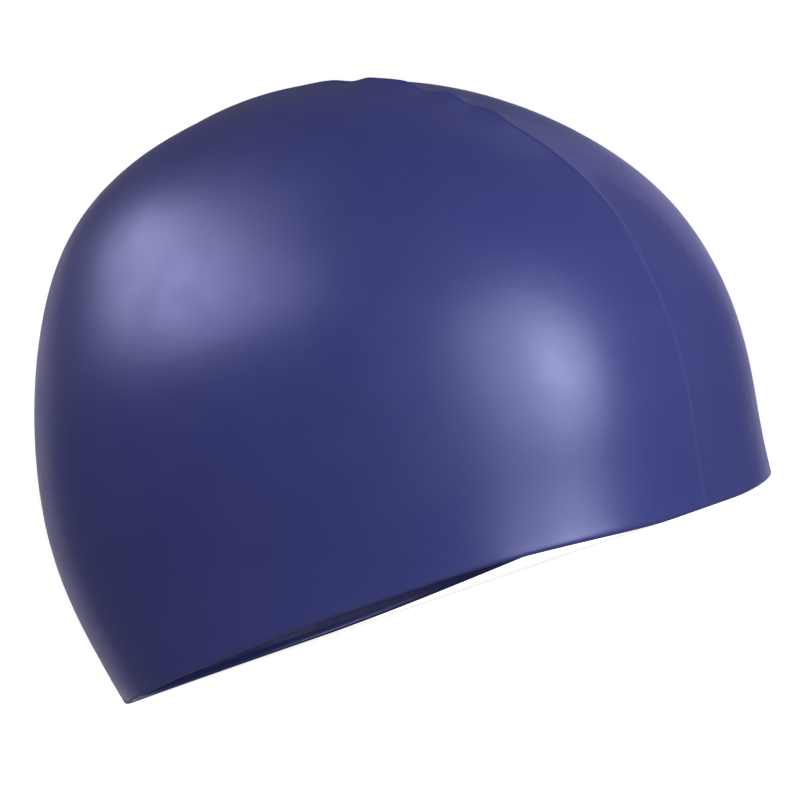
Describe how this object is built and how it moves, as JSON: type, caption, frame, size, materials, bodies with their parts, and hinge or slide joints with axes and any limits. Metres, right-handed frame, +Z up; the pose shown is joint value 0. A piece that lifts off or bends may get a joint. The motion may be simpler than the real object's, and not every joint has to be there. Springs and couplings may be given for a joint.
{
  "type": "swim cap",
  "caption": "Dome-shaped silicone swim cap with a thin mid-line ridge and a thickened rim, hollow and open below, standing on its rim.",
  "frame": {"origin": "on the floor under the middle of the cap's box, in the plane of its rim", "axes": "+Z up from the rim to the crown, -Y towards the forehead, +X towards the wearer's left"},
  "size_m": [0.1594, 0.2014, 0.1425],
  "materials": {
    "silicone": "satin navy silicone rubber with soft broad highlights"
  },
  "bodies": {
    "root": {"swim_cap": "silicone"}
  },
  "joints": []
}
